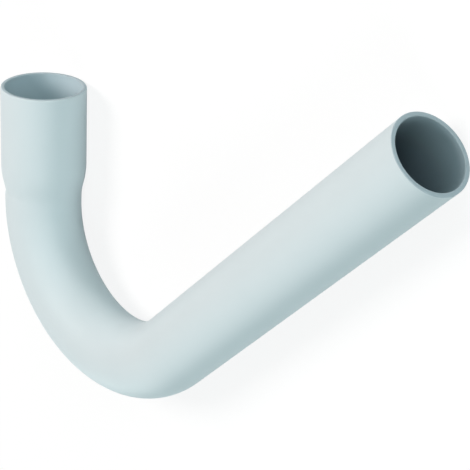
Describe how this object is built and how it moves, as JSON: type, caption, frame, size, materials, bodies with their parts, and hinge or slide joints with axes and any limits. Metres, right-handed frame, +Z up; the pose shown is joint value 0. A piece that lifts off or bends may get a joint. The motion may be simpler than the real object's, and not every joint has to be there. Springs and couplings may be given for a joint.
{
  "type": "flush bend extension pipe",
  "caption": "Plastic flush pipe bent through 135 degrees, with a belled socket on its short end and a long plain spigot, lying on its side.",
  "frame": {"origin": "centre of the socket's mouth, on the pipe's axis", "axes": "+Y out of the socket along its axis, +X across to the spigot, +Z up, square to the plane of the bend, as the pipe lies on its side"},
  "size_m": [0.3338, 0.2312, 0.0496],
  "materials": {
    "pe_hd": "satin moulded polyethylene, pale cool grey-white"
  },
  "bodies": {
    "root": {"flush_bend_pipe": "pe_hd"}
  },
  "joints": []
}
